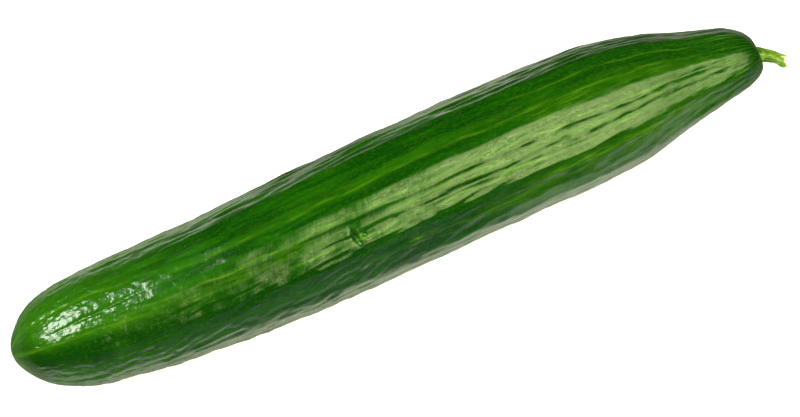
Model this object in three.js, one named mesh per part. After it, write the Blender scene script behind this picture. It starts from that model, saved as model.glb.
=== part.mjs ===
// A long salad cucumber as picked, lying on its belly, with the stub of its stem.
// Millimetres, +Z up. The fruit lies along X with its blossom end at -X and its stem at +X.
// The origin is at the middle of the underside of the whole part.
//
// Two pieces grow out of each other: the ribbed fruit, and the stem, whose root sits in a
// shallow socket in the end of the neck.

import * as THREE from 'three';

// ---------------------------------------------------------------- driving dimensions

// The fruit's stations from the blossom tip to the mouth of the stem's socket: distance from
// the tip, radius, sideways place of the middle (+Y) and height of the middle above the surface.
const STATIONS = [
  [0.0, 0.0, 3.1, 27.6],
  [0.8, 3.9, 3.0, 27.5],
  [3.6, 8.6, 2.7, 27.4],
  [10.0, 14.8, 2.2, 27.1],
  [21.3, 19.8, 1.4, 26.4],
  [43.7, 22.9, 0.0, 25.3],
  [77.3, 24.7, -1.3, 25.1],
  [111.0, 26.1, -1.0, 25.0],
  [155.8, 26.7, 0.0, 25.0],
  [200.6, 26.3, 0.6, 25.0],
  [232.4, 25.8, 0.7, 25.3],
  [247.0, 24.4, 0.7, 25.7],
  [262.3, 20.7, 0.5, 26.8],
  [275.0, 16.9, -0.2, 27.9],
  [286.0, 14.0, -1.0, 28.8],
  [294.0, 11.4, -1.7, 29.7],
  [298.8, 8.1, -2.4, 30.4],
  [300.3, 5.3, -3.1, 30.8],
  [299.6, 3.9, -3.6, 30.9],
];
const BLOSSOM_STATION = 0;
const MOUTH_STATION = STATIONS.length - 1;

// From the blossom tip to the part's origin, half the length of fruit and stem together.
const MIDDLE = 155;

// The socket in the end of the neck, and the root that fills it but for a hair's breadth.
const SOCKET_RADIUS = 3.7;
const SOCKET_FLOOR = 296.2;
const ROOT_GAP = 0.45;

// Long ribs with nearly flat skin between them, a little closer together under the belly and
// higher towards the stem, and the soft swells and hollows that cross them.
const RIB_COUNT = 10;
const RIB_HEIGHT = 0.33;
const RIB_SHARPNESS = 0.12;
const RIB_SINK = 0.8;
const RIB_RISE = [50, 130];
const RIB_SHARE_AT_TIP = 0.2;
const RIB_PHASE = THREE.MathUtils.degToRad(-11);
const RIB_GATHER = 0.07;
const RIB_WANDER = THREE.MathUtils.degToRad(1.5);
const RIB_WANDER_LENGTH = 230;
const SWELL_HEIGHT = 0.26;
const SWELL_LENGTHS = [46, 71];
const TIP_FADE = 14;
const NECK_FADE = 22;

// Deeper furrows between the ribs: a place round the skin in degrees, from the top towards -Y, a
// depth, and how far from the blossom tip the furrow sets in.
const FURROWS = [
  { place: -39, depth: 0.3, start: 150 },
  { place: -2, depth: 0.3, start: 60 },
  { place: 15, depth: 0.3, start: 90 },
  { place: 78, depth: 0.3, start: 0 },
  { place: 114, depth: 0.4, start: 0 },
  { place: -104, depth: 0.4, start: 0 },
  { place: -140, depth: 0.35, start: 0 },
];
const FURROW_WIDTH = THREE.MathUtils.degToRad(5);
const FURROW_RISE = 40;

// The belly is smooth where the fruit's weight rests: the relief sets in over this turn from it.
const BELLY_TURN = [THREE.MathUtils.degToRad(14), THREE.MathUtils.degToRad(42)];

const SIDES = 60;
const RINGS = 76;
const END_CROWDING = 0.5;

// The stem's middle line from its root in the socket to its torn end: X, Y, Z and radius.
const STEM_LINE = [
  [SOCKET_FLOOR + ROOT_GAP, -3.6, 30.9, SOCKET_RADIUS - ROOT_GAP],
  [299.6, -3.6, 30.9, 3.1],
  [302.2, -4.6, 31.3, 2.55],
  [304.6, -6.2, 31.8, 2.25],
  [306.3, -7.6, 32.2, 2.1],
  [307.5, -9.2, 32.5, 2.2],
];
const STEM_SIDES = 24;
const STEM_RINGS = 18;
const STEM_RIDGES = 5;
const STEM_RIDGE_HEIGHT = 0.14;
const STEM_SLOPE_STEP = 0.05;

// The torn end: prongs and gaps, each a place round the stem from its top towards -Y, a half
// width, and how far it stands past the end of the line. They rise over the last share of it.
const PRONGS = [
  { place: 12, halfWidth: 18, reach: 2.4 },
  { place: 42, halfWidth: 24, reach: 2.4 },
  { place: -22, halfWidth: 12, reach: 1.3 },
  { place: -50, halfWidth: 12, reach: -1.0 },
  { place: -85, halfWidth: 18, reach: 1.0 },
  { place: 105, halfWidth: 16, reach: 0.5 },
  { place: 175, halfWidth: 24, reach: 1.2 },
];
const PRONG_START = 0.78;
const RIM_SHARE = 0.84;
const HOLLOW_DEPTH = 1.1;
const HOLLOW_SHARE = 0.5;
const HOLLOW_CROWN = 0.2;

// ---------------------------------------------------------------- shared shape tools

/** Falls smoothly from 1 at 0 to 0 at 1 and beyond. */
function fadeOut(share) {
  return 1 - THREE.MathUtils.smoothstep(share, 0, 1);
}

/** The shortest turn from one angle to another, between -PI and PI. */
function turnBetween(from, to) {
  return Math.atan2(Math.sin(to - from), Math.cos(to - from));
}

/**
 * A smooth curve through rows of numbers: every column is a cubic in the straight-line distance
 * travelled through the first `spaceColumns` columns. Returns the length and a sampling function.
 */
function splineThrough(rows, spaceColumns) {
  const travelled = [0];
  for (let i = 1; i < rows.length; i += 1) {
    const steps = rows[i].slice(0, spaceColumns).map((value, column) => value - rows[i - 1][column]);
    travelled.push(travelled[i - 1] + Math.hypot(...steps));
  }
  const cubic = new THREE.CubicInterpolant(travelled, rows.flat(), rows[0].length);
  return { length: travelled.at(-1), at: (distance) => Array.from(cubic.evaluate(distance)) };
}

/**
 * A closed skin: one point at the start, rings of equally many points, and one point at the end.
 * The rings turn so that the faces look outwards when they run from -X to +X.
 */
function closedSkin(startPoint, rings, endPoint) {
  const sides = rings[0].length;
  const points = [startPoint, ...rings.flat(), endPoint];
  const first = (ring) => 1 + ring * sides;
  const faces = [];
  for (let side = 0; side < sides; side += 1) {
    const next = (side + 1) % sides;
    faces.push(0, first(0) + next, first(0) + side);
    for (let ring = 0; ring + 1 < rings.length; ring += 1) {
      const near = first(ring);
      const far = first(ring + 1);
      faces.push(near + side, near + next, far + next);
      faces.push(near + side, far + next, far + side);
    }
    const last = first(rings.length - 1);
    faces.push(last + side, last + next, points.length - 1);
  }
  const geometry = new THREE.BufferGeometry().setFromPoints(points);
  geometry.setIndex(faces);
  geometry.computeVertexNormals();
  return geometry;
}

// ---------------------------------------------------------------- the fruit

/** How far the skin stands out from the smooth fruit, at a distance from the tip and a place round it. */
function relief(distance, place) {
  const wander = RIB_WANDER * Math.sin((2 * Math.PI * distance) / RIB_WANDER_LENGTH);
  const gathered = place - RIB_GATHER * Math.sin(place) - RIB_PHASE - wander;
  const crests = Math.cos(RIB_COUNT * gathered) + RIB_SHARPNESS * Math.cos(2 * RIB_COUNT * gathered);
  const rise = THREE.MathUtils.smoothstep(distance, RIB_RISE[0], RIB_RISE[1]);
  const ribs = RIB_HEIGHT * THREE.MathUtils.lerp(RIB_SHARE_AT_TIP, 1, rise) * (crests - RIB_SINK);
  const swells = SWELL_HEIGHT
    * Math.sin((2 * Math.PI * distance) / SWELL_LENGTHS[0] + 3 * place)
    * Math.cos((2 * Math.PI * distance) / SWELL_LENGTHS[1] - 2 * place);
  const furrows = FURROWS.reduce((sum, furrow) => {
    const middle = THREE.MathUtils.degToRad(furrow.place) + wander;
    const offset = turnBetween(middle, place) / FURROW_WIDTH;
    const rising = THREE.MathUtils.smoothstep(distance, furrow.start, furrow.start + FURROW_RISE);
    return sum - furrow.depth * rising * Math.exp(-offset * offset);
  }, 0);
  const ends = THREE.MathUtils.smoothstep(distance, 0, TIP_FADE)
    * fadeOut((distance - STATIONS[MOUTH_STATION][0] + NECK_FADE) / NECK_FADE);
  const fromBelly = Math.abs(turnBetween(Math.PI, place));
  const belly = THREE.MathUtils.smoothstep(fromBelly, BELLY_TURN[0], BELLY_TURN[1]);
  return (ribs + swells + furrows) * ends * belly;
}

/** One ring of the skin, pressed flat where it would pass below the surface it lies on. */
function fruitRing([distance, radius, sideways, height]) {
  return Array.from({ length: SIDES }, (_, side) => {
    const place = (2 * Math.PI * side) / SIDES;
    const reach = radius + relief(distance, place);
    const z = Math.max(0, height + reach * Math.cos(place));
    return new THREE.Vector3(distance, sideways - reach * Math.sin(place), z);
  });
}

/** A ring of the socket, round and square to X. */
function socketRing(distance) {
  const [, , sideways, height] = STATIONS[MOUTH_STATION];
  return Array.from({ length: SIDES }, (_, side) => {
    const place = (2 * Math.PI * side) / SIDES;
    const y = sideways - SOCKET_RADIUS * Math.sin(place);
    return new THREE.Vector3(distance, y, height + SOCKET_RADIUS * Math.cos(place));
  });
}

function makeFruit() {
  const profile = splineThrough(STATIONS, 2);
  const rings = [];
  for (let ring = 1; ring <= RINGS; ring += 1) {
    const share = ring / RINGS;
    const crowded = share - (END_CROWDING * Math.sin(2 * Math.PI * share)) / (2 * Math.PI);
    rings.push(fruitRing(profile.at(profile.length * crowded)));
  }
  rings.push(socketRing(SOCKET_FLOOR));
  const [tipX, , tipY, tipZ] = STATIONS[BLOSSOM_STATION];
  const [, , mouthY, mouthZ] = STATIONS[MOUTH_STATION];
  const tip = new THREE.Vector3(tipX, tipY, tipZ);
  const floor = new THREE.Vector3(SOCKET_FLOOR, mouthY, mouthZ);
  const skin = new THREE.MeshStandardMaterial({ color: 0x2c6b14, roughness: 0.35, metalness: 0 });
  const fruit = new THREE.Mesh(closedSkin(tip, rings, floor), skin);
  fruit.name = 'fruit';
  return fruit;
}

// ---------------------------------------------------------------- the stem

/** How far a place round the torn end stands past the end of the line. */
function prongReach(place) {
  return PRONGS.reduce((sum, prong) => {
    const middle = THREE.MathUtils.degToRad(prong.place);
    const offset = turnBetween(middle, place) / THREE.MathUtils.degToRad(prong.halfWidth);
    return sum + prong.reach * Math.exp(-offset * offset);
  }, 0);
}

/**
 * A ring square to the stem's line at one distance along it: `width` is its share of the line's
 * radius, and `push` says how far each place round it stands ahead.
 */
function stemRing(line, distance, width, push) {
  const [x, y, z, radius] = line.at(distance);
  const before = line.at(Math.max(0, distance - STEM_SLOPE_STEP));
  const after = line.at(Math.min(line.length, distance + STEM_SLOPE_STEP));
  const along = new THREE.Vector3(after[0] - before[0], after[1] - before[1], after[2] - before[2]);
  along.normalize();
  const across = new THREE.Vector3(0, -1, 0).addScaledVector(along, along.y).normalize();
  const upward = new THREE.Vector3().crossVectors(across, along);
  const ridged = THREE.MathUtils.smoothstep(x, STATIONS[MOUTH_STATION][0], STEM_LINE[2][0]);
  return Array.from({ length: STEM_SIDES }, (_, side) => {
    const place = (2 * Math.PI * side) / STEM_SIDES;
    const ridge = STEM_RIDGE_HEIGHT * ridged * Math.cos(STEM_RIDGES * place);
    const reach = (radius + ridge) * width;
    return new THREE.Vector3(x, y, z)
      .addScaledVector(upward, reach * Math.cos(place))
      .addScaledVector(across, reach * Math.sin(place))
      .addScaledVector(along, push(place));
  });
}

function makeStem() {
  const line = splineThrough(STEM_LINE, 3);
  const rings = [];
  for (let ring = 0; ring <= STEM_RINGS; ring += 1) {
    const share = ring / STEM_RINGS;
    const rise = THREE.MathUtils.smoothstep(share, PRONG_START, 1);
    rings.push(stemRing(line, line.length * share, 1, (place) => rise * prongReach(place)));
  }
  rings.push(stemRing(line, line.length, RIM_SHARE, prongReach));
  rings.push(stemRing(line, line.length, HOLLOW_SHARE, () => -HOLLOW_DEPTH));
  const root = new THREE.Vector3(...STEM_LINE[0]);
  const [hollowX, hollowY, hollowZ] = line.at(line.length - (1 - HOLLOW_CROWN) * HOLLOW_DEPTH);
  const hollow = new THREE.Vector3(hollowX, hollowY, hollowZ);
  const flesh = new THREE.MeshStandardMaterial({ color: 0x8fae3c, roughness: 0.55, metalness: 0 });
  const stem = new THREE.Mesh(closedSkin(root, rings, hollow), flesh);
  stem.name = 'stem';
  return stem;
}

// ---------------------------------------------------------------- the whole part

const cucumber = new THREE.Group();
cucumber.add(makeFruit(), makeStem());
cucumber.position.x = -MIDDLE;

export default cucumber;
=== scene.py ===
"""A long salad cucumber as picked, lying on a pale floor: waxy ribbed skin, blossom scar, torn stem stub.

The part's frame is in metres, with +X from the blossom end to the stem and +Z up. Shapes are worked
out in millimetres from the blossom tip, and `to_frame` puts them in the part's frame. A place round
the fruit is an angle from the top towards -Y, which is its near side.
"""
import math

import bpy
import numpy as np
from mathutils import Matrix, Vector


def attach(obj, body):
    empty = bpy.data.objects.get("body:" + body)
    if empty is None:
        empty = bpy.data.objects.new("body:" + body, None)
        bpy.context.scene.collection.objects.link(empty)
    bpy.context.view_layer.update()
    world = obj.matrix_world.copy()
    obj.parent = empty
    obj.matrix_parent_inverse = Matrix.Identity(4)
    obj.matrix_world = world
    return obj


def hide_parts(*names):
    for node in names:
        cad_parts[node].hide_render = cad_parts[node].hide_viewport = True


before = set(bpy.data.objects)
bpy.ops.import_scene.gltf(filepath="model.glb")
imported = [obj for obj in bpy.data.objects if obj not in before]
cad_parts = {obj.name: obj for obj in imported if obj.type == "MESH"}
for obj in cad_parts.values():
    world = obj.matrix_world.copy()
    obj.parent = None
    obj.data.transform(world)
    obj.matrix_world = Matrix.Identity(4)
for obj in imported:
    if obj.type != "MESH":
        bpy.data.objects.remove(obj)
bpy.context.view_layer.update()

MM = 0.001
TURN = 2 * math.pi

# ---------------------------------------------------------------- driving dimensions, millimetres

# From the blossom tip to the part's origin.
MIDDLE = 155.0

# The fruit's stations: distance from the blossom tip, radius, sideways place and height of the middle.
STATIONS = np.array([
    (0.0, 0.0, 3.1, 27.6),
    (0.8, 3.9, 3.0, 27.5),
    (3.6, 8.6, 2.7, 27.4),
    (10.0, 14.8, 2.2, 27.1),
    (21.3, 19.8, 1.4, 26.4),
    (43.7, 22.9, 0.0, 25.3),
    (77.3, 24.7, -1.3, 25.1),
    (111.0, 26.1, -1.0, 25.0),
    (155.8, 26.7, 0.0, 25.0),
    (200.6, 26.3, 0.6, 25.0),
    (232.4, 25.8, 0.7, 25.3),
    (247.0, 24.4, 0.7, 25.7),
    (262.3, 20.7, 0.5, 26.8),
    (275.0, 16.9, -0.2, 27.9),
    (286.0, 14.0, -1.0, 28.8),
    (294.0, 11.4, -1.7, 29.7),
    (298.8, 8.1, -2.4, 30.4),
    (300.3, 5.3, -3.1, 30.8),
    (299.6, 3.9, -3.6, 30.9),
])
MOUTH = STATIONS[-1]
SOCKET_RADIUS = 3.7
SOCKET_FLOOR = 296.2

# The radius that makes an angle round the fruit a width in millimetres, and the reverse.
EVEN_RADIUS = 25.0

# Long ribs, closer together under the belly and higher towards the stem, sway along the fruit.
RIB_COUNT = 10
RIB_HEIGHT = 0.33
RIB_HEIGHT_AT_TIP = 0.2
RIB_START = (50, 130)
RIB_SHARPNESS = 0.12
RIB_SINK = 0.8
RIB_PHASE = math.radians(-11)
RIB_GATHER = 0.07
RIB_WANDER = math.radians(1.5)
RIB_WANDER_LENGTH = 230

# Soft swells across the ribs.
SWELL_HEIGHT = 0.26
SWELL_LENGTHS = (46, 71)

# Furrows: place in degrees, depth, and how far from the blossom tip they set in.
FURROWS = (
    (-39, 0.3, 150),
    (-2, 0.3, 60),
    (15, 0.3, 90),
    (78, 0.3, 0),
    (114, 0.4, 0),
    (-104, 0.4, 0),
    (-140, 0.35, 0),
)
FURROW_WIDTH = math.radians(5)
FURROW_RISE = 40

# Where relief fades in: from the tip, from the stem's mouth, and on both sides of the flat belly line.
TIP_FADE = 14
NECK_FADE = 22
FINE_TIP_FADE = 10
FINE_NECK_FADE = 9
BELLY_TURN = (math.radians(14), math.radians(42))

# The skin's mesh. Its rings crowd at both ends and round one nick, by distance over the skin.
SKIN_SIDES = 330
SKIN_RINGS = 295
END_CROWDING = 0.5
NICK_CROWDING = 4.0
CROWDED_NICK = 146.5
CROWDED_WIDTH = 2.6
CROWDING_STEPS = 6001

# Fine relief: heights of the folds, creases, crinkles, crumples and pebbles.
FOLD_HEIGHT = 0.13
SOFT_FOLD_HEIGHT = 0.06
CREASE_DEPTH = 0.10
CREASE_SPREAD = 0.35
CRINKLE_HEIGHT = 0.15
LYING_CRINKLE_HEIGHT = 0.07
CRUMPLE_HEIGHT = 0.052
CRUMPLE_GAIN_OFF_TOP = 0.010
PEBBLE_HEIGHT = 0.018
PEBBLE_HEIGHT_AT_TIP = 0.044
PEBBLES_GROW = (92, 50)

# Calm skin: place and half width in degrees, and the share of the relief that it loses.
CALM_TOP = (-8, 36)
CALM_TOP_SHARE = 0.8
CALM_SHOULDER = (-26, 18)
CALM_SHOULDER_SHARE = 0.7
CALM_SHOULDER_START = (66, 80)

# How much of the long relief the tip and the neck keep, and where the livelier middle starts and ends.
TIP_SHARE = 0.25
NECK_SHARE = 0.5
LIVELY_START = (10, 100)
LIVELY_END = (200, 270)

# The near side's crinkles set in between the first two places and end between the last two. Folds
# lose the first share of their height there, and crinkles keep the second one at both ends.
CRINKLED = (math.radians(22), math.radians(34), math.radians(100), math.radians(130))
FOLDS_LOST = 0.9
CRINKLES_KEPT = 0.4

# Where the slanting crinkles end, where the lying ones get lower, and the share that is left of them.
SLANTING_END = (150, 215)
LYING_END = (205, 265)
LYING_SHARE = 0.4

# Narrow grooves: place in degrees at the start and at the end, where each starts and ends, and depth.
GROOVES = (
    (-8, -16, 6, 62, 0.78),
    (-16, -17, 44, 100, 0.30),
    (-6, -5, 30, 112, 0.16),
    (0.8, 0.8, 66, 286, 0.34),
    (0.8, 0.8, 121, 139, 0.14),
    (0.8, 0.8, 148, 194, 0.16),
    (0.8, 0.8, 199, 214, 0.14),
    (0.8, 0.8, 215, 232, 0.22),
    (0.8, 0.8, 238, 258, 0.14),
    (14.4, 14.4, 100, 276, 0.26),
    (14.4, 14.4, 118, 134, 0.22),
    (14.4, 14.4, 146, 160, 0.26),
    (14.4, 14.4, 165, 192, 0.24),
    (14.4, 14.4, 193, 203, 0.30),
    (14.4, 14.4, 214, 228, 0.28),
    (14.4, 14.4, 239, 257, 0.20),
    (7, 9, 170, 226, 0.16),
    (-7.5, -8.5, 150, 236, 0.14),
    (-39, -39, 176, 276, 0.14),
    (-58, -60, 40, 240, 0.24),
    (66, 66, 30, 250, 0.20),
    (96, 96, 20, 260, 0.3),
    (133, 133, 14, 240, 0.26),
    (-84, -84, 24, 262, 0.26),
    (-121, -121, 16, 268, 0.3),
)
GROOVE_WIDTH = math.radians(2.8)
GROOVE_RISE = 40

# A groove or a painted line wanders this far round the fruit, in bends of this length. Each degree
# round the fruit moves the bends this far along it.
LINE_SWAY = math.radians(0.9)
SWAY_LENGTH = 18
SWAY_SHIFT = 1.5

# Healed nicks: distance, place in degrees, half length along the fruit, half width round it, and depth.
NICKS = (
    (135.2, 9.6, 0.5, 1.3, 0.7),
    (135.7, 13.2, 0.75, 1.5, 1.2),
    (136.2, 17.0, 0.8, 1.4, 1.2),
    (137.8, 15.2, 0.5, 1.8, -0.08),
    (138.9, 13.4, 0.4, 1.0, 0.6),
    (156.3, 21.8, 1.1, 0.8, 0.50),
    (155.0, 34.8, 1.1, 0.7, 0.40),
    (157.0, 44.0, 1.2, 0.8, 0.40),
    (156.6, 38.8, 1.8, 0.5, -0.12),
    (57.4, 51.5, 0.9, 1.2, 0.36),
    (88.0, -62.0, 0.8, 1.4, 0.30),
    (210.0, -96.0, 1.1, 0.8, 0.34),
    (104.0, 128.0, 1.0, 2.2, 0.40),
    (188.0, 158.0, 0.8, 1.0, 0.30),
)
# How strongly the nicks are painted: dark as painted shade in their hollows, and healed lips pale.
NICK_PAINT = 0.8
NICK_PAINT_GAIN = 1.5

# The blossom scar: a lumpy ring round a dimple.
SCAR_RING = 2.5
SCAR_RING_WIDTH = 0.75
SCAR_RING_HEIGHT = 0.32
DIMPLE_WIDTH = 1.3
DIMPLE_DEPTH = 0.45

# How far the fine weave of the skin's gloss turns round the fruit for each millimetre along it.
WEAVE_TWIST = 0.069

# How much rougher the skin is than its smooth middle, and where it changes towards the ends.
MATT_AT_TIP = 0.08
MATT_TIP_START = (110, 56)
MATT_AT_NECK = 0.11
MATT_NECK_START = (215, 285)
MATT_NEAR_SIDE = 0.05
MATT_IN_NICKS = 0.45
MATT_AT_POLES = 0.1

# Pale yellow-green streaks: place in degrees, half width in degrees, start, end and strength. The narrow
# ones beside grooves, at -38.5, -22.6, -2.2 and 17.2 degrees, are partly painted highlight on lit groove
# lips. The wide faint ones at 5, 6.5 and -17 degrees are partly painted highlight in the large softbox's
# reflection. The rest are the skin's own pale lines.
PALE_LINES_AND_LIT_LIPS = (
    (-32, 1.7, -8, 60, 0.6),
    (-2.2, 1.0, 40, 276, 0.85),
    (-22.6, 1.3, 60, 288, 0.5),
    (-62, 1.8, -8, 26, 0.6),
    (-92, 2.2, -8, 24, 0.6),
    (34, 2.4, -8, 18, 0.5),
    (66, 2.4, -8, 22, 0.6),
    (112, 2.6, -8, 22, 0.6),
    (158, 2.6, -8, 22, 0.6),
    (-27, 5.0, 90, 265, 0.12),
    (-38.5, 0.9, 200, 290, 0.6),
    (-17, 6.0, 205, 290, 0.4),
    (5, 5.0, 34, 132, 0.35),
    (17.2, 0.9, 104, 270, 0.9),
    (34, 2.0, 205, 278, 0.8),
    (6.5, 3.0, 150, 275, 0.35),
    (55, 6.0, 190, 292, 0.5),
    (3, 1.5, -8, 60, 0.6),
    (40, 11.0, 180, 290, 0.45),
    (41, 1.2, 128, 230, 0.4),
    (66, 2.2, 20, 250, 0.45),
    (-72, 2.2, 20, 250, 0.45),
    (97, 2.0, 8, 250, 0.6),
    (-108, 2.2, 8, 262, 0.6),
    (132, 1.8, 10, 230, 0.5),
    (168, 2.6, 6, 270, 0.55),
    (-146, 2.0, 12, 255, 0.6),
)

# Bands of deeper green, given in the same way. The narrow ones beside grooves and furrows are painted shade
# along them. Those between 14 and 28 degrees are partly painted shade on the near side, which is turned
# from the small softbox. The rest are the skin's own deeper green.
DEEP_AND_SHADED_BANDS = (
    (14, 7.0, 0, 62, 0.9),
    (28, 14.0, 0, 150, 0.97),
    (22, 11.0, 4, 96, 0.9),
    (28, 4.0, 120, 250, 0.5),
    (1.8, 2.0, 112, 282, 0.75),
    (13.2, 1.6, 112, 262, 0.8),
    (-18.6, 1.6, 60, 286, 0.75),
    (-41, 1.0, 150, 286, 0.7),
    (-50, 3.0, 60, 280, 0.5),
    (-13, 1.6, 40, 230, 0.5),
    (84, 5.0, 30, 260, 0.4),
    (120, 6.0, 20, 270, 0.5),
    (-95, 6.0, 20, 270, 0.5),
    (-128, 6.0, 20, 260, 0.45),
    (150, 5.0, 20, 250, 0.4),
)

# Painted lines fade in and out over these distances.
LINE_FADE_IN = 10
LINE_FADE_OUT = 24

# They weaken to this share where a random curve with bends of this length is low. It is moved on by
# this distance for each line, so that no two weaken together.
LINE_BREAK_SHARE = 0.45
LINE_BREAK_LENGTH = 12
LINE_BREAK_SHIFT = 70
LINE_BREAK_VALUES = (-1.0, 0.6)

# From here to the tip they fan out to this many times their width.
LINE_FAN_START = 16
LINE_FAN = 4

# The stem's middle line from its root to its torn end: X, Y, Z and radius.
STEM_LINE = np.array([
    (296.8, -3.6, 30.9, 3.2),
    (299.6, -3.6, 30.9, 3.1),
    (302.2, -4.6, 31.3, 2.55),
    (304.6, -6.2, 31.8, 2.25),
    (306.3, -7.6, 32.2, 2.1),
    (307.5, -9.2, 32.5, 2.2),
])
STEM_SIDES = 96
STEM_RINGS = 120

# The stem's ridges: how many go round, the phase that they gain from root to end, and height.
STEM_RIDGES = (
    (5, 0.8, 0.14),
    (13, 3, 0.05),
    (21, -5, 0.03),
)
STEM_RIDGE_RISE = 4
STEM_LUMP_HEIGHT = 0.05

# The swollen collar where the stem leaves the fruit: its least and greatest height, place and width.
COLLAR_HEIGHTS = (0.25, 0.6)
COLLAR_PLACE = 0.9
COLLAR_WIDTH = 1.1

# The torn end: prongs and gaps, each a place round the stem in degrees, a half width and a reach.
PRONGS = (
    (12, 18, 2.4),
    (42, 24, 2.4),
    (-22, 10, 1.3),
    (-50, 10, -1.6),
    (-85, 16, 1.3),
    (105, 16, 0.5),
    (140, 14, -0.6),
    (175, 24, 1.2),
)
PRONG_START = 0.78

# Two marks that run down from the torn end: place and half width in degrees. Each grows to its full
# size between two shares of the stem's length.
SLIT = (-50, 9)
SLIT_DEPTH = 0.9
SLIT_GROWS = (PRONG_START, 0.92)
SPLINTER = (-85, 16)
SPLINTER_HEIGHT = 0.3
SPLINTER_GROWS = (0.84, 1)

# Rings that step down inside the torn end: share of the radius, share of the prongs' reach, and depth.
PITH_STEPS = (
    (0.86, 1.0, 0.0),
    (0.68, 0.7, 0.35),
    (0.46, 0.2, 1.1),
    (0.24, 0.0, 0.9),
)
PITH_DEPTH = 0.6

# The outside's last stretch is torn too, in part: where that starts and its greatest share.
TORN_START = 0.95
TORN_SHARE = 0.6

# The stem's length and radius in its material's coordinates, where it is straight and even.
EVEN_STEM = (14, 2.6)

# A random field's usual wave is this many times as long as its hills, and wrinkles vary in their
# spacing by this share.
USUAL_WAVE = 1.6
SPACING_SPREAD = 0.22


# ---------------------------------------------------------------- shared shape tools

def ramp(values, low, high, to_low=0.0, to_high=1.0):
    """Goes from to_low at low to to_high at high by 3 t^2 - 2 t^3, and stays level beyond them."""
    share = np.clip((values - low) / (high - low), 0, 1)
    return to_low + (to_high - to_low) * (share * share * (3 - 2 * share))


def bell(values, centre, width):
    """A bell of height 1: exp(-((v - centre) / width)^2)."""
    return np.exp(-((values - centre) / width) ** 2)


def turn_between(start, end):
    """The shortest turn from one angle to another, between -pi and pi."""
    return np.arctan2(np.sin(end - start), np.cos(end - start))


def bell_round(place, degrees, half_width):
    """A bell of height 1 round the fruit or the stem, centred on a place. Both numbers are degrees."""
    return bell(turn_between(math.radians(degrees), place), 0, math.radians(half_width))


def places_round(sides):
    """Even places round the fruit or the stem, as one row."""
    return (TURN * np.arange(sides) / sides)[None, :]


def spline_through(rows, space_columns, shares):
    """Cubic Hermite curves through rows of numbers, one for each column.

    The parameter is the straight-line distance travelled through the first columns, and the slope
    at a row is the mean of the slopes on both sides of it. `shares` runs from 0 to 1.
    """
    steps = np.linalg.norm(np.diff(rows[:, :space_columns], axis=0), axis=1)
    travelled = np.concatenate([[0], np.cumsum(steps)])
    chords = np.diff(rows, axis=0) / steps[:, None]
    slopes = np.empty_like(rows)
    slopes[1:-1] = (chords[:-1] + chords[1:]) / 2
    slopes[0] = (3 * chords[0] - slopes[1]) / 2
    slopes[-1] = (3 * chords[-1] - slopes[-2]) / 2
    wanted = shares * travelled[-1]
    span = np.clip(np.searchsorted(travelled, wanted, side="right") - 1, 0, len(rows) - 2)
    length = steps[span][:, None]
    t = (wanted - travelled[span])[:, None] / length
    return (
        (2 * t**3 - 3 * t**2 + 1) * rows[span]
        + (t**3 - 2 * t**2 + t) * length * slopes[span]
        + (3 * t**2 - 2 * t**3) * rows[span + 1]
        + (t**3 - t**2) * length * slopes[span + 1]
    )


def wave_spread(length):
    """The spread of waves, in radians a millimetre, that gives hills about `length` long."""
    return TURN / length / USUAL_WAVE


def wave_sum(distance, place, along, around, phase):
    """A field of spread 1 over a grid: the sum of cos(along d + around p + phase), evened out."""
    field = np.zeros(np.broadcast(distance, place).shape)
    for wave in range(len(phase)):
        field += np.cos(along[wave] * distance + around[wave] * place + phase[wave])
    return field * math.sqrt(2 / len(phase))


def ripples(distance, place, length, width, seed, waves=48):
    """A smooth random field, with hills about `length` long along the fruit and `width` wide round it.

    Each wave goes a whole number of times round, so the field closes on itself.
    """
    draw = np.random.default_rng(seed)
    along = draw.normal(0, wave_spread(length), waves)
    around = np.rint(draw.normal(0, EVEN_RADIUS * wave_spread(width), waves))
    phase = draw.uniform(0, TURN, waves)
    return wave_sum(distance, place, along, around, phase)


def wrinkles(distance, place, spacing, length, seed, slant=0.0, waves=40):
    """A random field like `ripples`, whose crests run along the fruit, `spacing` apart.

    `slant` is how far a crest goes round for each millimetre along, towards the top of the near side.
    """
    draw = np.random.default_rng(seed)
    around = np.rint(EVEN_RADIUS * TURN / spacing * (1 + draw.normal(0, SPACING_SPREAD, waves)))
    along = draw.normal(0, wave_spread(length), waves) + slant * around / EVEN_RADIUS
    phase = draw.uniform(0, TURN, waves)
    return wave_sum(distance, place, along, around, phase)


def slow_curve(distance, length, seed):
    """A smooth random curve along the fruit, the same all round it, with hills about `length` long."""
    return ripples(distance, 0, length, math.inf, seed)


def tube_coordinates(along, place, radius):
    """Every point's place on a straight, even tube, so that a pattern follows the piece as it grew."""
    across = radius * np.cos(place)
    upward = radius * np.sin(place)
    return np.stack(np.broadcast_arrays(along, across, upward), axis=-1)


def to_frame(points):
    """Millimetres from the blossom tip to metres in the part's frame."""
    return (points - np.array([MIDDLE, 0, 0])) * MM


def add_object(name, mesh):
    """Puts a mesh into the scene as an object of its own, at the origin."""
    made = bpy.data.objects.new(name, mesh)
    bpy.context.scene.collection.objects.link(made)
    return made


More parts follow.
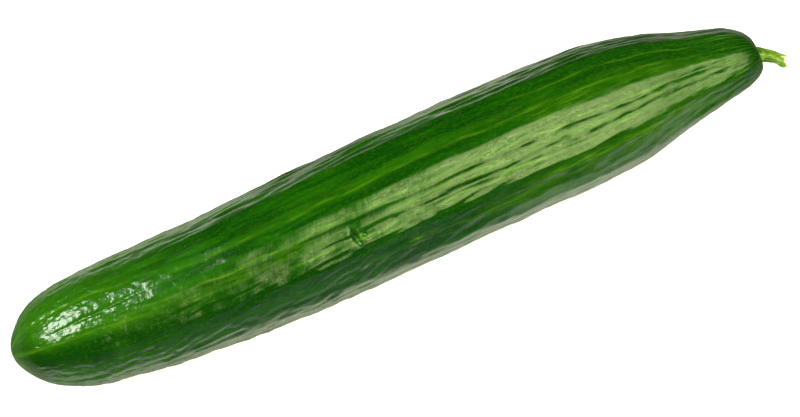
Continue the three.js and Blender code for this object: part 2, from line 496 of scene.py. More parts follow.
def closed_skin(name, first_point, rings, last_point):
    """A closed mesh: a point, rings of equally many points that run along the piece, and a point.

    `rings` has the shape (rings, sides, 3), in millimetres.
    """
    count, sides = rings.shape[:2]
    points = np.concatenate([[first_point], rings.reshape(-1, 3), [last_point]])
    side = np.arange(sides)
    beside = (side + 1) % sides
    near = 1 + np.arange(count - 1)[:, None] * sides
    far = near + sides
    quads = np.stack([near + side, near + beside, far + beside, far + side], axis=-1).reshape(-1, 4)
    last = 1 + (count - 1) * sides
    start_fan = np.stack([np.zeros(sides, int), 1 + beside, 1 + side], axis=-1)
    end_fan = np.stack([last + side, last + beside, np.full(sides, len(points) - 1)], axis=-1)
    faces = start_fan.tolist() + quads.tolist() + end_fan.tolist()
    mesh = bpy.data.meshes.new(name)
    mesh.from_pydata(to_frame(points), [], faces)
    mesh.shade_smooth()
    piece = add_object(name, mesh)
    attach(piece, "root")
    return piece


def paint(piece, name, values, first, last):
    """Keeps one number or one vector for every point of a closed skin, for its material to read."""
    vector = values.ndim == 3
    flat = values.reshape(-1, 3) if vector else values.reshape(-1)
    flat = np.concatenate([[first], flat, [last]])
    kind = "FLOAT_VECTOR" if vector else "FLOAT"
    layer = piece.data.attributes.new(name, kind, "POINT")
    layer.data.foreach_set("vector" if vector else "value", flat.ravel())


# ---------------------------------------------------------------- the fruit's relief

def main_relief(distance, place):
    """Ribs, swells and furrows: cosines round and along the fruit, less bells along the furrows."""
    wander = RIB_WANDER * np.sin(TURN * distance / RIB_WANDER_LENGTH)
    gathered = place - RIB_GATHER * np.sin(place) - RIB_PHASE - wander
    ribs = np.cos(RIB_COUNT * gathered) + RIB_SHARPNESS * np.cos(2 * RIB_COUNT * gathered) - RIB_SINK
    ribs = ribs * RIB_HEIGHT * ramp(distance, *RIB_START, RIB_HEIGHT_AT_TIP, 1)
    swells = SWELL_HEIGHT * np.sin(TURN * distance / SWELL_LENGTHS[0] + 3 * place)
    swells = swells * np.cos(TURN * distance / SWELL_LENGTHS[1] - 2 * place)
    relief = ribs + swells
    for degrees, depth, start in FURROWS:
        offset = turn_between(math.radians(degrees) + wander, place)
        relief -= depth * ramp(distance, start, start + FURROW_RISE) * bell(offset, 0, FURROW_WIDTH)
    return relief


def near_side(place):
    """1 on the crinkled near side, falling to 0 on both sides of it."""
    turned = turn_between(0, place)
    return ramp(turned, *CRINKLED[:2]) * ramp(turned, *CRINKLED[2:], 1, 0)


def off_top(place):
    """1 all round, less a bell over the calm top."""
    return 1 - CALM_TOP_SHARE * bell_round(place, *CALM_TOP)


def off_ends(distance):
    """1 in the middle of the fruit, less towards the smooth tip and neck."""
    return ramp(distance, *LIVELY_START, TIP_SHARE, 1) * ramp(distance, *LIVELY_END, 1, NECK_SHARE)


def long_folds(distance, place):
    """Narrow folds and wide soft ones, less creases: bells where a random field is near 0."""
    folds = FOLD_HEIGHT * wrinkles(distance, place, spacing=3.8, length=26, seed=4, slant=0.05)
    soft_folds = SOFT_FOLD_HEIGHT * wrinkles(distance, place, spacing=9, length=50, seed=8)
    creases = CREASE_DEPTH * bell(ripples(distance, place, length=36, width=8, seed=3), 0, CREASE_SPREAD)
    return (folds + soft_folds - creases) * off_top(place) * (1 - FOLDS_LOST * near_side(place))


def crinkles(distance, place):
    """The near side's wrinkles: short slanting ones in patches, and longer ones along the fruit.

    The slanting ones end halfway along, and the lying ones get lower towards the neck.
    """
    patches = 0.55 + 0.45 * np.clip(ripples(distance, place, length=34, width=14, seed=15), -1, 1)
    slanting = CRINKLE_HEIGHT * wrinkles(distance, place, spacing=4, length=9, seed=12, slant=0.26)
    slanting = slanting * patches * ramp(distance, *SLANTING_END, 1, 0)
    lying = LYING_CRINKLE_HEIGHT * wrinkles(distance, place, spacing=6, length=22, seed=13, slant=0.08)
    lying = lying * ramp(distance, *LYING_END, 1, LYING_SHARE)
    return near_side(place) * (slanting + lying)


def crumples(distance, place):
    """Round crumples and smaller pebbles, calmer along the shoulder past the blossom end."""
    crumple_height = CRUMPLE_HEIGHT + CRUMPLE_GAIN_OFF_TOP * off_top(place)
    crumpled = crumple_height * ripples(distance, place, length=6, width=4.5, seed=5)
    pebble_height = ramp(distance, *PEBBLES_GROW, PEBBLE_HEIGHT, PEBBLE_HEIGHT_AT_TIP)
    pebbled = pebble_height * ripples(distance, place, length=2.6, width=2.4, seed=7, waves=64)
    calm = CALM_SHOULDER_SHARE * bell_round(place, *CALM_SHOULDER) * ramp(distance, *CALM_SHOULDER_START)
    return (crumpled + pebbled) * (1 - calm)


def line_sway(distance, degrees):
    """How far a long line wanders round the fruit. Neighbouring lines sway together."""
    return LINE_SWAY * slow_curve(distance + SWAY_SHIFT * degrees, SWAY_LENGTH, seed=6)


def groove_relief(distance, place):
    """Sharp valleys whose sides rise as exp(-|turn| / width). They deepen at an even slope."""
    relief = 0
    for first, last, start, end, depth in GROOVES:
        line = np.radians(ramp(distance, start, end, first, last)) + line_sway(distance, first)
        rise = min(GROOVE_RISE * depth, (end - start) / 2)
        reach = ramp(distance, start, start + rise) * ramp(distance, end - rise, end, 1, 0)
        relief = relief - depth * reach * np.exp(-np.abs(turn_between(line, place)) / GROOVE_WIDTH)
    return relief


def fine_relief(distance, place):
    """Folds, crinkles, crumples and grooves added up, the first two lower towards both ends."""
    lively = off_ends(distance)
    kept = CRINKLES_KEPT + (1 - CRINKLES_KEPT) * lively
    wrinkled = long_folds(distance, place) * lively + crinkles(distance, place) * kept
    return wrinkled + crumples(distance, place) + groove_relief(distance, place)


def nick_shape(distance, place, nick):
    """One nick: a bell along the fruit times a bell round it, 1 at its middle."""
    middle, degrees, half_length, half_width, _ = nick
    across = EVEN_RADIUS * turn_between(math.radians(degrees), place)
    return bell(distance, middle, half_length) * bell(across, 0, half_width)


def nick_relief(distance, place):
    """Nicks sink by their depths, and a negative depth stands up as a healed lip."""
    return -sum(nick_shape(distance, place, nick) * nick[-1] for nick in NICKS)


def scar_relief(travelled, place):
    """The blossom scar: a low lumpy ring round a dimple, by distance over the skin from the tip."""
    lumps = 0.65 + 0.35 * np.cos(5 * place + 0.7) + 0.2 * np.cos(3 * place - 1.1)
    ring = SCAR_RING_HEIGHT * lumps * bell(travelled, SCAR_RING, SCAR_RING_WIDTH)
    return ring - DIMPLE_DEPTH * bell(travelled, 0, DIMPLE_WIDTH)


# ---------------------------------------------------------------- the fruit's paint

def nick_paint(distance, place, lips):
    """Where the nicks are painted dark, as painted shade in their hollows, or with `lips` where healed lips
    are pale.
    """
    wanted = [nick for nick in NICKS if (nick[-1] < 0) == lips]
    shapes = sum(nick_shape(distance, place, nick) for nick in wanted)
    return NICK_PAINT * np.clip(NICK_PAINT_GAIN * shapes, 0, 1)


def matt_paint(distance, place):
    """How much rougher the skin is than its middle: the tip, the neck, the near side and the nicks."""
    tip = ramp(distance, *MATT_TIP_START, 0, MATT_AT_TIP)
    neck = ramp(distance, *MATT_NECK_START, 0, MATT_AT_NECK)
    nicks = MATT_IN_NICKS * nick_paint(distance, place, lips=False)
    return tip + neck + MATT_NEAR_SIDE * near_side(place) + nicks


def line_paint(distance, place, lines):
    """Paint along the fruit, from 0 to 1: bells along wandering lines, each broken, with soft ends.

    Lines fan out at the blossom tip, where the fruit is narrow. Where they cross, the shares that
    each leaves bare are multiplied.
    """
    bare = 1
    for number, (degrees, half_width, start, end, strength) in enumerate(lines):
        line = math.radians(degrees) + line_sway(distance, degrees)
        reach = ramp(distance, start, start + LINE_FADE_IN) * ramp(distance, end - LINE_FADE_OUT, end, 1, 0)
        breaks = slow_curve(distance + LINE_BREAK_SHIFT * number, LINE_BREAK_LENGTH, seed=10)
        reach = reach * ramp(breaks, *LINE_BREAK_VALUES, LINE_BREAK_SHARE, 1)
        fanned = math.radians(half_width) * ramp(distance, LINE_FAN_START, 1, 1, LINE_FAN)
        bare = bare * (1 - strength * reach * bell(turn_between(line, place), 0, fanned))
    return 1 - bare


# ---------------------------------------------------------------- the fruit

def ring_shares(total):
    """How far along the skin each ring is, as a share: close together at both ends and at the nick.

    The rings' closeness is 1 / (1 - END_CROWDING cos(2 pi share)) plus a bell of NICK_CROWDING.
    """
    share = np.linspace(0, 1, CROWDING_STEPS)
    closeness = 1 / (1 - END_CROWDING * np.cos(TURN * share))
    closeness += NICK_CROWDING * bell(share * total, CROWDED_NICK, CROWDED_WIDTH)
    count = np.concatenate([[0], np.cumsum((closeness[1:] + closeness[:-1]) / 2)])
    return np.interp(np.arange(1, SKIN_RINGS + 1) / SKIN_RINGS, count / count[-1], share)


def skin_rings(stations, travelled, place):
    """Rings round the stations' middles, whose radius has all the relief added to it.

    The belly is flat where it would dip below the floor. One more ring is the bottom edge of the
    round socket that the stem stands in.
    """
    distance, radius, sideways, height = (stations[:, [column]] for column in range(4))
    to_mouth = MOUTH[0] - distance
    belly = ramp(np.abs(turn_between(math.pi, place)), *BELLY_TURN)
    shown = ramp(distance, 0, TIP_FADE) * ramp(to_mouth, 0, NECK_FADE) * belly
    fine_shown = ramp(distance, 0, FINE_TIP_FADE) * ramp(to_mouth, 0, FINE_NECK_FADE) * belly
    reach = radius + main_relief(distance, place) * shown + fine_relief(distance, place) * fine_shown
    reach = reach + scar_relief(travelled, place) + nick_relief(distance, place)
    y = sideways - reach * np.sin(place)
    z = np.maximum(0, height + reach * np.cos(place))
    rings = np.stack(np.broadcast_arrays(distance, y, z), axis=-1)

    socket_y = MOUTH[2] - SOCKET_RADIUS * np.sin(place)
    socket_z = MOUTH[3] + SOCKET_RADIUS * np.cos(place)
    socket = np.stack(np.broadcast_arrays(SOCKET_FLOOR, socket_y, socket_z), axis=-1)
    return np.concatenate([rings, socket])


def make_skin():
    """The fruit's skin, closed at the tip and on the socket's floor, with the paint for its material.

    The tip is as deep as the scar's dimple.
    """
    total = np.linalg.norm(np.diff(STATIONS[:, :2], axis=0), axis=1).sum()
    shares = ring_shares(total)
    stations = spline_through(STATIONS, 2, shares)
    travelled = (shares * total)[:, None]
    place = places_round(SKIN_SIDES)
    rings = skin_rings(stations, travelled, place)
    tip = (DIMPLE_DEPTH, STATIONS[0, 2], STATIONS[0, 3])
    socket_floor = (SOCKET_FLOOR, MOUTH[2], MOUTH[3])
    skin = closed_skin("cucumber_skin", tip, rings, socket_floor)

    along = np.append(stations[:, 0], SOCKET_FLOOR)[:, None]
    end = total + MOUTH[1]
    over_skin = np.append(travelled, end)[:, None]
    # pale: the pale lines, partly painted highlight on lit groove lips, and the healed lips. deep: the
    # deeper bands, partly painted shade along grooves and on the near side, and the nicks' hollows painted
    # as shade.
    pale = np.maximum(line_paint(along, place, PALE_LINES_AND_LIT_LIPS), nick_paint(along, place, lips=True))
    deep = np.maximum(line_paint(along, place, DEEP_AND_SHADED_BANDS), nick_paint(along, place, lips=False))
    grown = tube_coordinates(along, place, EVEN_RADIUS)
    woven = tube_coordinates(along, place + WEAVE_TWIST * along, EVEN_RADIUS)
    paint(skin, "grown", grown, (0, 0, 0), (SOCKET_FLOOR, 0, 0))
    paint(skin, "woven", woven, (0, 0, 0), (SOCKET_FLOOR, 0, 0))
    paint(skin, "pale", pale, 1.0, 0.0)
    paint(skin, "deep", deep, 0.0, 0.0)
    paint(skin, "matt", matt_paint(along, place), MATT_AT_POLES, MATT_AT_POLES)
    paint(skin, "from_tip", np.broadcast_to(along, pale.shape), 0.0, SOCKET_FLOOR)
    paint(skin, "over_skin", np.broadcast_to(over_skin, pale.shape), 0.0, end)
    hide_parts("fruit")
    return skin


# ---------------------------------------------------------------- the stem

def unit(vectors):
    """Vectors of length 1 in the same directions."""
    return vectors / np.linalg.norm(vectors, axis=1, keepdims=True)


def stem_relief(out, from_mouth, place):
    """A collar at the mouth, ridges that turn along the stem, soft lumps, and the torn end's marks.

    The collar is a bell along the stem, higher on the near side. Ridges and lumps are cosines.
    """
    collar = ramp(np.sin(place), 0, 1, *COLLAR_HEIGHTS) * bell(from_mouth, COLLAR_PLACE, COLLAR_WIDTH)
    ridges = sum(height * np.cos(count * place + turn * out) for count, turn, height in STEM_RIDGES)
    lumps = STEM_LUMP_HEIGHT * np.cos(4.5 * TURN * out + 3 * place) * np.cos(2.5 * TURN * out - 2 * place)
    slit = SLIT_DEPTH * bell_round(place, *SLIT) * ramp(out, *SLIT_GROWS)
    splinter = SPLINTER_HEIGHT * bell_round(place, *SPLINTER) * ramp(out, *SPLINTER_GROWS)
    return collar + ramp(from_mouth, 0, STEM_RIDGE_RISE) * (ridges + lumps) - slit + splinter


def prong_reach(place):
    """How far the torn end reaches past the stem's line: fine fibres, and a bell for each prong."""
    fibres = 0.16 * np.cos(11 * place) + 0.1 * np.cos(19 * place + 1)
    return fibres + sum(reach * bell_round(place, degrees, width) for degrees, width, reach in PRONGS)


def make_stem():
    """The stem stub: rings square to a curved line, ridged, flared at the root and torn at the end."""
    shares = np.linspace(0, 1, STEM_RINGS)
    line = spline_through(STEM_LINE, 3, shares)
    middle = line[:, :3]
    along = unit(np.gradient(middle, axis=0))
    across = unit(np.array([0, -1, 0]) + along * along[:, [1]])
    upward = np.cross(across, along)
    place = places_round(STEM_SIDES)
    out = shares[:, None]

    arms = upward[:, None] * np.cos(place)[..., None] + across[:, None] * np.sin(place)[..., None]
    radius = line[:, [3]] + stem_relief(out, middle[:, [0]] - MOUTH[0], place)
    push = prong_reach(place) * ramp(out, PRONG_START, 1)
    outside = middle[:, None] + arms * radius[..., None] + along[:, None] * push[..., None]

    width, follow, depth = np.array(PITH_STEPS).T[:, :, None]
    inside_radius = radius[-1] * width
    inside_push = push[-1] * follow - depth
    inside = middle[-1] + arms[-1] * inside_radius[..., None] + along[-1] * inside_push[..., None]
    rings = np.concatenate([outside, inside])
    pith = middle[-1] - along[-1] * PITH_DEPTH
    stem = closed_skin("stem_stub", middle[0], rings, pith)

    steps = len(PITH_STEPS)
    length = np.append(shares, np.ones(steps))[:, None]
    broken = np.append(np.zeros(STEM_RINGS), np.ones(steps))[:, None]
    torn = np.maximum(broken, TORN_SHARE * ramp(length, TORN_START, 1))
    even_length, even_radius = EVEN_STEM
    grown = tube_coordinates(even_length * length, place, even_radius)
    paint(stem, "torn", np.broadcast_to(torn, rings.shape[:2]), 0.0, 1.0)
    paint(stem, "out", np.broadcast_to(length, rings.shape[:2]), 0.0, 1.0)
    paint(stem, "grown", grown, (0, 0, 0), (even_length, 0, 0))
    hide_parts("stem")
    return stem


# ---------------------------------------------------------------- materials

class Shader:
    """The node tree of a material or a world, with a short way to add a node and join its sockets."""

    def __init__(self, owner):
        owner.use_nodes = True
        self.owner = owner
        self.tree = owner.node_tree

    def put(self, socket, value):
        """Joins a socket to another node's output, or sets its own value."""
        if isinstance(value, bpy.types.NodeSocket):
            self.tree.links.new(value, socket)
        else:
            socket.default_value = value

    def node(self, kind, inputs, output=0, **settings):
        """A node of a kind, its inputs by name or number, and its settings. Returns one output."""
        made = self.tree.nodes.new("ShaderNode" + kind)
        for name, value in settings.items():
            setattr(made, name, value)
        for key, value in inputs.items():
            self.put(made.inputs[key], value)
        return made.outputs[output]

    def attribute(self, name, output="Fac"):
        """What `paint` kept under a name: a number, or with output "Vector" a vector."""
        return self.node("Attribute", {}, output, attribute_name=name)

    def noise(self, coordinates, stretch, detail, roughness=0.55, distortion=0.0):
        """Soft noise, whose features along each axis are about 1 / stretch long."""
        stretched = self.node("Mapping", {"Vector": coordinates, "Scale": stretch})
        inputs = {"Vector": stretched, "Scale": 1.0, "Detail": detail,
                  "Roughness": roughness, "Distortion": distortion}
        return self.node("TexNoise", inputs)

    def ramp(self, value, low, high, to_low=0.0, to_high=1.0):
        """The same as the shape tool `ramp`, for a socket's value."""
        inputs = {"Value": value, "From Min": low, "From Max": high, "To Min": to_low, "To Max": to_high}
        return self.node("MapRange", inputs, interpolation_type="SMOOTHSTEP")

    def plus(self, first, second):
        """The sum of two values."""
        return self.node("Math", {0: first, 1: second}, operation="ADD")

    def minus(self, first, second):
        """The first value less the second."""
        return self.node("Math", {0: first, 1: second}, operation="SUBTRACT")

    def times(self, first, second):
        """The product of two values."""
        return self.node("Math", {0: first, 1: second}, operation="MULTIPLY")

    def blend(self, amount, below, above):
        """One colour laid over another, by an amount from 0 to 1."""
        return self.node("Mix", {0: amount, 6: below, 7: above}, 2, data_type="RGBA")

    def choose(self, test, value, other):
        """One number, or the other where the test is 1."""
        return self.node("Mix", {0: test, 2: value, 3: other}, data_type="FLOAT")

    def bump(self, height, distance, strength=1.0, normal=None):
        """Tilts the surface as if the height stood out from it by a distance in metres."""
        inputs = {"Height": height, "Distance": distance, "Strength": strength}
        if normal is not None:
            inputs["Normal"] = normal
        return self.node("Bump", inputs)

    def fill(self, node, **inputs):
        """Fills inputs of a node that the tree came with, and returns the material or the world."""
        for name, value in inputs.items():
            self.put(self.tree.nodes[node].inputs[name.replace("_", " ")], value)
        return self.owner

    def show(self, surface):
        """Shows a shader instead of the one that the material came with."""
        self.tree.nodes.remove(self.tree.nodes["Principled BSDF"])
        return self.fill("Material Output", Surface=surface)


DARK_GREEN = (0.0018, 0.030, 0.0006, 1)
LEAF_GREEN = (0.0085, 0.068, 0.0006, 1)
FRESH_GREEN = (0.020, 0.098, 0.0009, 1)
PALE_GREEN = (0.065, 0.170, 0.004, 1)
SCAR_CREAM = (0.30, 0.36, 0.13, 1)
SCAR_BROWN = (0.13, 0.11, 0.04, 1)
STEM_GREEN = (0.034, 0.095, 0.003, 1)
STEM_LIGHT = (0.105, 0.185, 0.010, 1)
STEM_SPOTS = (0.26, 0.32, 0.10, 1)
STEM_ROOT = (0.030, 0.09, 0.006, 1)
TORN_CREAM = (0.74, 0.72, 0.50, 1)

# Between which distances from the tip a colour or the grain comes on.
FRESH_TIP = (90, 5)
DARK_NECK = (40, 290)
FLECKED_NECK = (60, 285)
# Where the painted shade round the stem's mouth comes on.
SHADED_MOUTH_RING = (286, 298)
RING_FIBRES = (262, 288)
GRAINY_TIP = (78, 48)

# The scar's edge and its brown middle by distance over the skin, and how ragged both are.
SCAR_EDGE = (2.6, 1.2)
SCAR_MIDDLE = (0.4, -0.4)
SCAR_RAGGEDNESS = 2.4

# How far the finest relief stands out, in metres, and how rough wax and stem are.
GRAIN_HEIGHT = 0.22 * MM
WEAVE_HEIGHT = 0.04 * MM
STEM_LINE_HEIGHT = 0.25 * MM
STEM_SPOT_HEIGHT = 0.1 * MM
WAX_ROUGHNESS = (0.09, 0.14)
STEM_ROUGHNESS = 0.36


def skin_material():
    """Waxy skin: leaf green with darker mottle, pale lines and flecks, and a cream blossom scar. Painted
    shade darkens the grooves, the nicks, the near side and a ring round the stem, and painted highlight
    lightens lit groove lips.
    """
    skin = Shader(bpy.data.materials.new("cucumber_skin"))
    grown = skin.attribute("grown", "Vector")
    woven = skin.attribute("woven", "Vector")
    from_tip = skin.attribute("from_tip")
    over_skin = skin.attribute("over_skin")

    streaky = skin.noise(grown, (0.035, 0.35, 0.35), detail=5.0, distortion=0.3)
    mottled = skin.noise(grown, (0.45, 0.9, 0.9), detail=4.0)
    fibres = skin.noise(grown, (0.12, 1.6, 1.6), detail=4.0)
    flecks = skin.noise(grown, (0.6, 1.3, 1.3), detail=3.0)

    # The green itself: fresh at the tip, dark towards the neck, mottled, with the deep bands. These add
    # painted shade along grooves, in the nicks' hollows and on the near side to the skin's own deeper
    # bands.
    colour = skin.blend(skin.ramp(streaky, 0.36, 0.64), DARK_GREEN, LEAF_GREEN)
    colour = skin.blend(skin.ramp(from_tip, *FRESH_TIP, 0, 0.7), colour, FRESH_GREEN)
    colour = skin.blend(skin.ramp(from_tip, *DARK_NECK, 0, 0.62), colour, DARK_GREEN)
    colour = skin.blend(skin.ramp(mottled, 0.42, 0.68, 0, 0.24), colour, DARK_GREEN)
    colour = skin.blend(skin.attribute("deep"), colour, DARK_GREEN)

    # Pale streaks, broken up along the fibres, and pale flecks. Some of the streaks are partly painted
    # highlight, on lit groove lips and in the large softbox's reflection.
    pale_lines_and_lit_lips = skin.times(skin.attribute("pale"), skin.ramp(fibres, 0.34, 0.6, 0.2, 1.0))
    colour = skin.blend(pale_lines_and_lit_lips, colour, PALE_GREEN)
    flecked = skin.times(skin.ramp(flecks, 0.46, 0.74), skin.ramp(from_tip, *FLECKED_NECK, 0.1, 0.16))
    colour = skin.blend(flecked, colour, PALE_GREEN)

    # Painted shade: a dark ring round the stem, where the fruit's end dips into the socket, with pale
    # fibres that run into it.
    colour = skin.blend(skin.ramp(from_tip, *SHADED_MOUTH_RING, 0, 0.92), colour, DARK_GREEN)
    fanned = skin.times(skin.ramp(fibres, 0.52, 0.66), skin.ramp(from_tip, *RING_FIBRES, 0, 0.4))
    colour = skin.blend(fanned, colour, PALE_GREEN)

    # The scar at the tip, cream with a ragged edge and brown in the middle.
    ragged = skin.minus(over_skin, skin.times(mottled, SCAR_RAGGEDNESS))
    colour = skin.blend(skin.ramp(ragged, *SCAR_EDGE, 0, 0.8), colour, SCAR_CREAM)
    colour = skin.blend(skin.ramp(ragged, *SCAR_MIDDLE, 0, 0.8), colour, SCAR_BROWN)

    grain = skin.noise(grown, (0.55, 0.55, 0.55), detail=1.0, roughness=0.4)
    weave = skin.noise(woven, (0.42, 0.55, 0.55), detail=2.0, distortion=0.6)
    normal = skin.bump(skin.times(grain, skin.ramp(from_tip, *GRAINY_TIP, 0.25, 1.0)), GRAIN_HEIGHT)
    normal = skin.bump(weave, WEAVE_HEIGHT, normal=normal)
    rough = skin.plus(skin.ramp(mottled, 0.3, 0.7, *WAX_ROUGHNESS), skin.attribute("matt"))
    return skin.fill("Principled BSDF", Base_Color=colour, Roughness=rough, Normal=normal)


def stem_material():
    """Fresh stem: mottled yellow green with paler ribs, dark at the root, cream where it is torn."""
    stem = Shader(bpy.data.materials.new("stem_stub"))
    grown = stem.attribute("grown", "Vector")
    lines = stem.noise(grown, (0.16, 1.0, 1.0), detail=4.0)
    spots = stem.noise(grown, (0.55, 0.9, 0.9), detail=3.0)
    colour = stem.blend(stem.ramp(lines, 0.40, 0.60), STEM_GREEN, STEM_LIGHT)
    colour = stem.blend(stem.ramp(spots, 0.50, 0.66, 0, 0.75), colour, STEM_SPOTS)
    colour = stem.blend(stem.ramp(stem.attribute("out"), 0.32, 0.18, 0, 0.8), colour, STEM_ROOT)
    flesh = stem.times(stem.attribute("torn"), stem.ramp(lines, 0.35, 0.55, 0.35, 1.0))
    colour = stem.blend(flesh, colour, TORN_CREAM)
    normal = stem.bump(lines, STEM_LINE_HEIGHT, 0.8)
    normal = stem.bump(spots, STEM_SPOT_HEIGHT, 0.6, normal)
    return stem.fill("Principled BSDF", Base_Color=colour, Roughness=STEM_ROUGHNESS, Normal=normal)


# ---------------------------------------------------------------- the studio, millimetres

# The camera looks straight down, with the fruit's axis rising to the right.
LENS = 120.0
SENSOR = 36.0
FRAME_WIDTH = 300.0
AXIS_RISE = math.radians(23.28)
AIM = (0.0, -3.5, 26.0)
CLIP_START = 50
CLIP_END = 100000

# The floor reaches this far each way, and lies just below the fruit.
FLOOR_REACH = 30000
FLOOR_DROP = 0.2
FLOOR_GREY = (0.5, 0.5, 0.5, 1)
FLOOR_GLOW = 0.8

# The world's brightness: as seen, as light on the fruit, and in the skin's gloss.
SKY_SEEN = 0.66
SKY_LIGHT = 0.12
SKY_IN_GLOSS = 0.01

# The large softbox hangs over the stem half and is turned a little. The small one leans in over the
# blossom end. Sizes are width and height.
LIGHT_HEIGHT = 600
LARGE_MIDDLE = (430, -185)
LARGE_SIZE = (1000, 760)
LARGE_TURN = math.radians(-11)
LARGE_RADIANCE = 5.0
LARGE_TINT = (0.86, 1.0, 0.40)
SMALL_CENTRE = (-540, 470, 620)
SMALL_AIM = (-125, 8, 48)
SMALL_SIZE = (440, 560)
SMALL_RADIANCE = 18

# The large softbox's tubes, which show through its cloth: place across it, half width and gain.
TUBES = (
    (-300, 18, 2.0),
    (-212, 20, 2.6),
    (-120, 16, 3.0),
    (-28, 20, 3.6),
    (60, 16, 3.2),
    (152, 20, 2.6),
    (238, 18, 2.0),
)
TUBE_STEP = 6

# What shows in the skin's gloss. Each profile gives a place and how brightly it glows there: along
# and across the two softboxes, along the floor and away from the fruit behind it and before it, and
# along and up a wall before it. The cards' tints are in `make_lights`.
LARGE_ALONG = (
    (-590, 0), (-520, 0.25), (-420, 0.75), (-340, 1), (-230, 1.05), (20, 0.7), (300, 0.45), (500, 0.25))
LARGE_ACROSS = (
    (-385, 1.2), (-330, 2.1), (-200, 2.9), (0, 3.1), (130, 3.2),
    (270, 2.8), (325, 2.0), (358, 1.5), (388, 0.6), (408, 0))
SMALL_ALONG = ((-690, 0), (-590, 1), (-380, 1), (-330, 0.5), (-285, 0.12), (-255, 0))
SMALL_ACROSS = ((120, 0), (200, 13), (300, 26), (400, 14), (520, 26), (640, 14), (720, 6), (790, 0))
BEHIND_ALONG = (
    (-400, 0.5), (-230, 0.4), (-165, 0.35), (-120, 1.0), (-60, 1.1), (-45, 0.75),
    (-20, 0.62), (12, 0.62), (25, 0.95), (50, 0.95), (70, 0.65), (90, 0.6),
    (125, 0.4), (150, 0.85), (175, 0.68), (230, 0.38), (400, 0.3))
BEHIND_ACROSS = ((0, 0.4), (38, 0.5), (48, 1.3), (60, 1.35), (74, 0.5), (118, 0.3), (160, 0.12))
BEFORE_ALONG = (
    (-400, 0.4), (-240, 0.45), (-190, 1.0), (-100, 1.1), (0, 1.15),
    (60, 1.25), (130, 1.1), (155, 0.65), (230, 0.3), (400, 0.25))
BEFORE_ACROSS = ((0, 0.5), (-45, 0.7), (-46, 1.35), (-96, 1.65), (-104, 0.45))
SIDE_ALONG = ((-900, 1.6), (-200, 1.5), (-120, 0.95), (0, 0.95), (60, 1.4), (900, 1.5))
SIDE_UP = ((-250, 0.55), (-140, 0.65), (-90, 0.9), (-35, 0.8), (0, 0.26), (70, 0.1))
CORNER_ALONG = (
    (-900, 0.18), (-400, 0.2), (-260, 0.26), (-180, 0.42), (10, 0.42), (60, 0.1), (260, 0))
CORNER_UP = ((60, 1.0), (250, 0.9), (330, 0.3), (420, 0))
WALL_Y = -500

# The glow on the floor behind the fruit narrows towards its neck: between which X, to what share.
NECK_NARROWS = (30, 90)
NARROW_SHARE = 0.72


def make_camera():
    """A long lens straight above the fruit, turned so that its axis rises to the right."""
    data = bpy.data.cameras.new("camera")
    data.lens = LENS
    data.sensor_width = SENSOR
    data.clip_start = CLIP_START * MM
    data.clip_end = CLIP_END * MM
    camera = bpy.data.objects.new("camera", data)
    above = FRAME_WIDTH * LENS / SENSOR
    camera.location = Vector((AIM[0], AIM[1], AIM[2] + above)) * MM
    camera.rotation_euler = (0, 0, -AXIS_RISE)
    bpy.context.scene.collection.objects.link(camera)
    bpy.context.scene.camera = camera


def floor_material():
    """Plain matt grey, which also glows where the camera sees it."""
    floor = Shader(bpy.data.materials.new("floor"))
    matt = floor.node("BsdfDiffuse", {"Color": FLOOR_GREY})
    glow = floor.node("Emission", {"Strength": FLOOR_GLOW})
    both = floor.node("AddShader", {0: matt, 1: glow})
    seen = floor.node("LightPath", {}, "Is Camera Ray")
    return floor.show(floor.node("MixShader", {0: seen, 1: matt, 2: both}))


def make_floor():
    """A wide pale floor just under the fruit, bright in the lights and never darker than pale grey."""
    signs = ((-1, -1), (1, -1), (1, 1), (-1, 1))
    corners = [Vector((x * FLOOR_REACH, y * FLOOR_REACH, -FLOOR_DROP)) * MM for x, y in signs]
    mesh = bpy.data.meshes.new("floor")
    mesh.from_pydata(corners, [], [(0, 1, 2, 3)])
    mesh.materials.append(floor_material())
    floor = add_object("floor", mesh)
    floor.visible_glossy = False


def make_world():
    """Pale behind the floor, dim for the light it gives and dark in the skin's gloss."""
    world = Shader(bpy.data.worlds.new("studio"))
    seen = world.node("LightPath", {}, "Is Camera Ray")
    in_gloss = world.node("LightPath", {}, "Is Glossy Ray")
    strength = world.choose(in_gloss, world.choose(seen, SKY_LIGHT, SKY_SEEN), SKY_IN_GLOSS)
    bpy.context.scene.world = world.fill("Background", Color=(1, 1, 1, 1), Strength=strength)


def make_softbox(name, centre, aim, size, radiance, tint=(1, 1, 1), turn=0.0):
    """A rectangular soft light of even brightness, turned to face a point and then about its own axis.

    Its power is radiance times pi times its area. The gloss doesn't show it, but a card instead.
    """
    width, height = size
    data = bpy.data.lights.new(name, "AREA")
    data.shape = "RECTANGLE"
    data.size = width * MM
    data.size_y = height * MM
    data.energy = radiance * math.pi * data.size * data.size_y
    data.color = tint
    light = bpy.data.objects.new(name, data)
    light.location = Vector(centre) * MM
    facing = (Vector(aim) - Vector(centre)).to_track_quat("-Z", "Y").to_matrix()
    light.rotation_euler = (facing @ Matrix.Rotation(turn, 3, "Z")).to_euler()
    light.visible_camera = False
    light.visible_glossy = False
    bpy.context.scene.collection.objects.link(light)


def glowing(name, tint):
    """A material that glows as brightly as its mesh's "radiance" attribute says."""
    card = Shader(bpy.data.materials.new(name))
    return card.show(card.node("Emission", {"Color": (*tint, 1), "Strength": card.attribute("radiance")}))


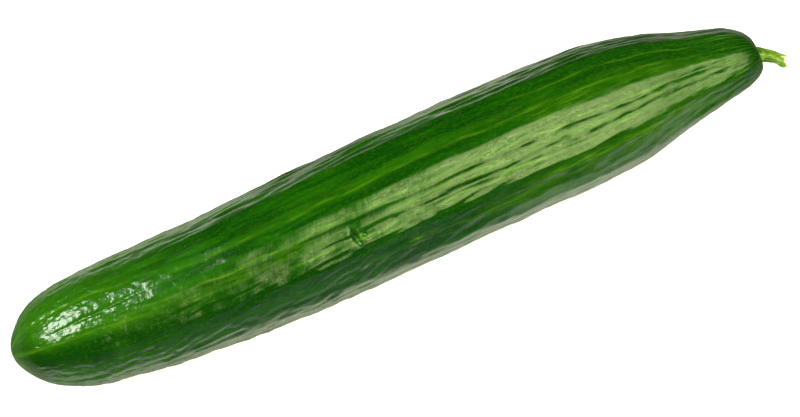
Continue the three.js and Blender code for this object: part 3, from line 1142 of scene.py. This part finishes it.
def make_card(name, first, second, lay, tint):
    """A card that only shows in the skin's gloss.

    `first` and `second` are profiles, rows of a coordinate and a share. A point's glow is the two
    shares multiplied, and `lay` turns the two coordinates into X, Y and Z.
    """
    along, along_share = np.array(first, float).T
    across, across_share = np.array(second, float).T
    glow = along_share[:, None] * across_share[None, :]
    points = np.stack(np.broadcast_arrays(*lay(along[:, None], across[None, :])), axis=-1)
    rows, columns = glow.shape
    corner = np.arange(rows - 1)[:, None] * columns + np.arange(columns - 1)
    faces = np.stack([corner, corner + 1, corner + columns + 1, corner + columns], axis=-1).reshape(-1, 4)
    mesh = bpy.data.meshes.new(name)
    mesh.from_pydata(points.reshape(-1, 3) * MM, [], faces.tolist())
    mesh.attributes.new("radiance", "FLOAT", "POINT").data.foreach_set("value", glow.ravel())
    mesh.materials.append(glowing(name, tint))
    card = add_object(name, mesh)
    card.visible_camera = False
    card.visible_diffuse = False
    card.visible_shadow = False
    card.visible_transmission = False


def over_stem(x, y):
    """The large softbox's own coordinates, turned and moved to where it hangs."""
    cosine = math.cos(LARGE_TURN)
    sine = math.sin(LARGE_TURN)
    return LARGE_MIDDLE[0] + cosine * x - sine * y, LARGE_MIDDLE[1] + sine * x + cosine * y, LIGHT_HEIGHT


def overhead(x, y):
    """Level, at the height of the lights."""
    return x, y, LIGHT_HEIGHT


def on_floor(x, y):
    """On the floor."""
    return x, y, 0


def on_floor_narrowing(x, y):
    """On the floor, and drawn in beside the fruit's neck."""
    return x, y * np.interp(x, NECK_NARROWS, (1, NARROW_SHARE)), 0


def on_wall(x, z):
    """Upright before the fruit."""
    return x, WALL_Y, z


def tubes_across():
    """The large softbox's profile across, in fine steps: its cloth, brighter by a bell at each tube."""
    cloth, cloth_glow = np.array(LARGE_ACROSS).T
    across = np.arange(cloth[0], cloth[-1] + TUBE_STEP, TUBE_STEP)
    tubes = sum(gain * bell(across, middle, half_width) for middle, half_width, gain in TUBES)
    return np.stack([across, np.interp(across, cloth, cloth_glow) * (1 + tubes)], axis=-1)


def make_lights():
    """A large softbox over the stem half, a small bright one over the blossom end, and cards."""
    above = (*LARGE_MIDDLE, LIGHT_HEIGHT)
    below = (*LARGE_MIDDLE, 0)
    make_softbox("large_softbox", above, below, LARGE_SIZE, LARGE_RADIANCE, LARGE_TINT, LARGE_TURN)
    make_softbox("small_softbox", SMALL_CENTRE, SMALL_AIM, SMALL_SIZE, SMALL_RADIANCE)
    make_card("large_glow", LARGE_ALONG, tubes_across(), over_stem, LARGE_TINT)
    make_card("small_glow", SMALL_ALONG, SMALL_ACROSS, overhead, tint=(1.0, 1.0, 0.9))
    make_card("floor_behind", BEHIND_ALONG, BEHIND_ACROSS, on_floor_narrowing, tint=(1.0, 0.98, 0.82))
    make_card("floor_before", BEFORE_ALONG, BEFORE_ACROSS, on_floor, tint=(0.95, 1.0, 0.75))
    make_card("dim_side", SIDE_ALONG, SIDE_UP, on_wall, tint=(0.9, 0.97, 0.9))
    make_card("dim_corner", CORNER_ALONG, CORNER_UP, on_wall, tint=(0.9, 0.95, 1.0))


# ---------------------------------------------------------------- the scene

make_camera()
make_floor()
make_world()
make_lights()

skin = make_skin()
skin.data.materials.append(skin_material())
stem = make_stem()
stem.data.materials.append(stem_material())

bpy.context.scene.view_settings.view_transform = "Standard"
